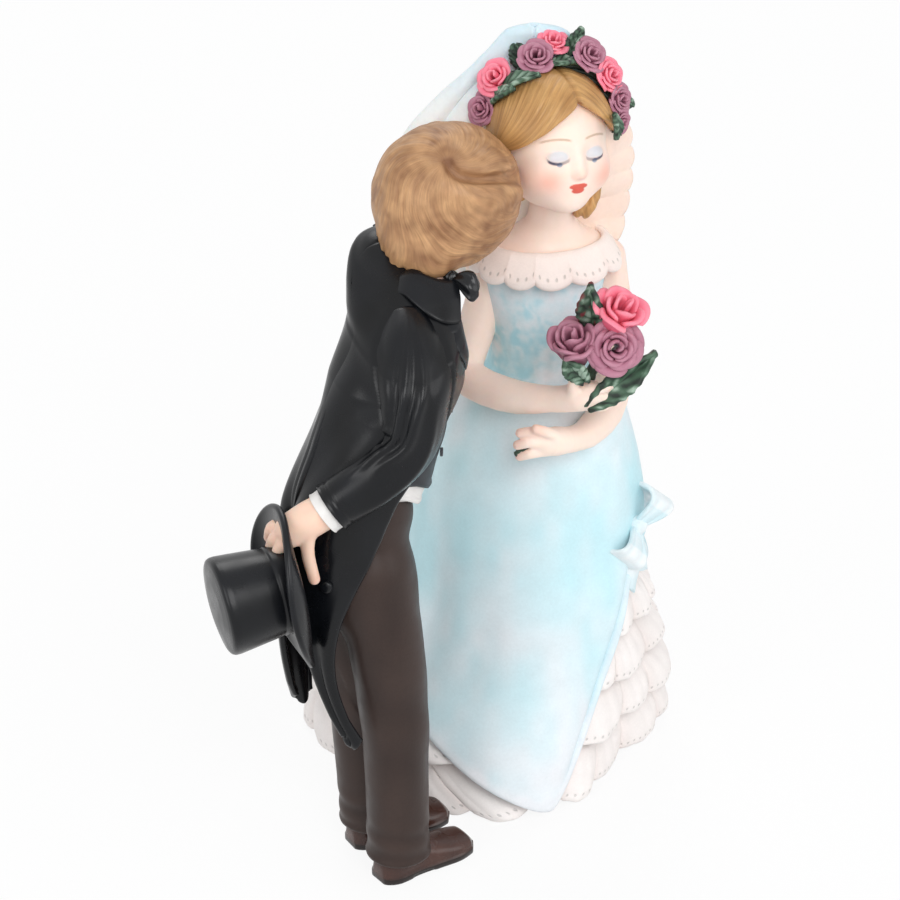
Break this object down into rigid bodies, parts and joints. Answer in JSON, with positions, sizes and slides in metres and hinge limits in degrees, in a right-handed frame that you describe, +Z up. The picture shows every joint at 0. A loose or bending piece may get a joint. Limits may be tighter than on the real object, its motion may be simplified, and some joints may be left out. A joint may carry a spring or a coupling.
{
  "type": "wedding cake topper",
  "caption": "Free-standing bridal pair figurine: a groom in tailcoat with top hat in hand leans to kiss a bride in a tiered gown holding a bouquet.",
  "frame": {"origin": "on the table under the gown, at the middle of the petticoat's flat base", "axes": "+Z up, -Y the way the bride faces, +X to the bride's left; the groom stands at -X -Y of the gown"},
  "size_m": [0.0802, 0.0972, 0.1394],
  "materials": {
    "ruffle_white": "matte white paint on cast resin",
    "gown_blue": "matte pale blue wash over white on cast resin",
    "ribbon_blue": "matte white paint with a pale blue wash",
    "bride_skin": "matte skin tint with airbrushed blush",
    "groom_skin": "matte skin tint",
    "bride_hair": "matte light brown paint with darker strokes",
    "groom_hair": "matte light brown paint with darker strokes",
    "veil": "matte cream paint with a pale blue wash",
    "leaf_green": "satin dark green paint",
    "rose_mauve": "satin mauve paint",
    "rose_pink": "satin pink paint",
    "black_satin": "satin black paint",
    "waistcoat_grey": "satin charcoal paint",
    "shirt_white": "matte white paint",
    "trouser_brown": "matte dark brown paint",
    "shoe_brown": "gloss dark brown paint"
  },
  "bodies": {
    "root": {"petticoat": "ruffle_white", "ruffle_tier_1": "ruffle_white", "ruffle_tier_2": "ruffle_white", "ruffle_tier_3": "ruffle_white", "ruffle_tier_4": "ruffle_white", "neckline_ruffle": "ruffle_white", "overskirt": "gown_blue", "bodice": "gown_blue", "sash_bow": "ribbon_blue", "sash_bow_tails": "ribbon_blue", "bust": "bride_skin", "bride_head": "bride_skin", "bride_right_arm": "bride_skin", "bride_left_arm": "bride_skin", "groom_head": "groom_skin", "groom_right_hand": "groom_skin", "groom_left_hand": "groom_skin", "bride_hair": "bride_hair", "groom_hair": "groom_hair", "veil": "veil", "crown_band_with_leaves": "leaf_green", "bouquet_stem": "leaf_green", "bouquet_stem_end": "leaf_green", "bouquet_long_leaf": "leaf_green", "bouquet_curled_leaf": "leaf_green", "bouquet_bud": "leaf_green", "crown_rose_1": "rose_mauve", "crown_rose_3": "rose_mauve", "crown_rose_5": "rose_mauve", "crown_rose_7": "rose_mauve", "crown_rose_8": "rose_mauve", "bouquet_rose_right": "rose_mauve", "bouquet_rose_left": "rose_mauve", "crown_rose_2": "rose_pink", "crown_rose_4": "rose_pink", "crown_rose_6": "rose_pink", "bouquet_rose_pink": "rose_pink", "tailcoat_body": "black_satin", "tailcoat_lapel_right": "black_satin", "tailcoat_lapel_left": "black_satin", "tailcoat_collar": "black_satin", "tailcoat_sleeve_right": "black_satin", "tailcoat_sleeve_left": "black_satin", "tailcoat_tail_right": "black_satin", "tailcoat_tail_left": "black_satin", "tail_button": "black_satin", "bow_tie": "black_satin", "top_hat_crown": "black_satin", "top_hat_brim": "black_satin", "waistcoat": "waistcoat_grey", "waistcoat_button_upper": "waistcoat_grey", "waistcoat_button_lower": "waistcoat_grey", "shirt_tail": "shirt_white", "shirt_front": "shirt_white", "shirt_collar": "shirt_white", "shirt_cuff_right": "shirt_white", "shirt_cuff_left": "shirt_white", "trousers": "trouser_brown", "shoe_right": "shoe_brown", "shoe_left": "shoe_brown"}
  },
  "joints": []
}
